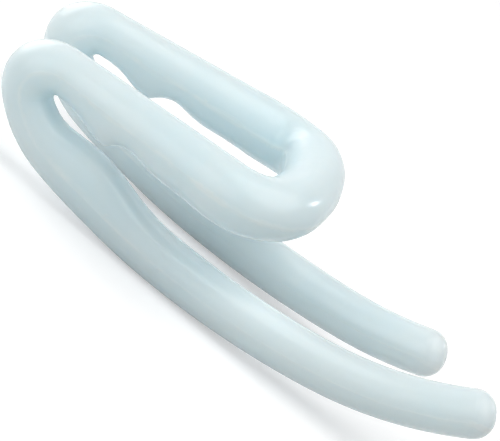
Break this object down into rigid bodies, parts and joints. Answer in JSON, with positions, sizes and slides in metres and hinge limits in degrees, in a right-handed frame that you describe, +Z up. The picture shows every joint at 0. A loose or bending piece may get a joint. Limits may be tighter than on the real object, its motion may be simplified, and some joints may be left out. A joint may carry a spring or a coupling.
{
  "type": "curtain hook",
  "caption": "Moulded nylon curtain hook: a round rod bent into a flat loop that folds back at the heels and runs out as two bowed prongs with blunt rounded tips, one prong a little longer than the other.",
  "frame": {"origin": "on the surface that the hook lies on, in the middle of its footprint", "axes": "+X from the heels to the tips of the prongs, +Y across the limbs, +Z up with the bars and the cross bend on top"},
  "size_m": [0.0276, 0.0136, 0.0083],
  "materials": {
    "nylon": "smooth moulded natural nylon, bluish white and slightly translucent"
  },
  "bodies": {
    "root": {"curtain_hook": "nylon"}
  },
  "joints": []
}
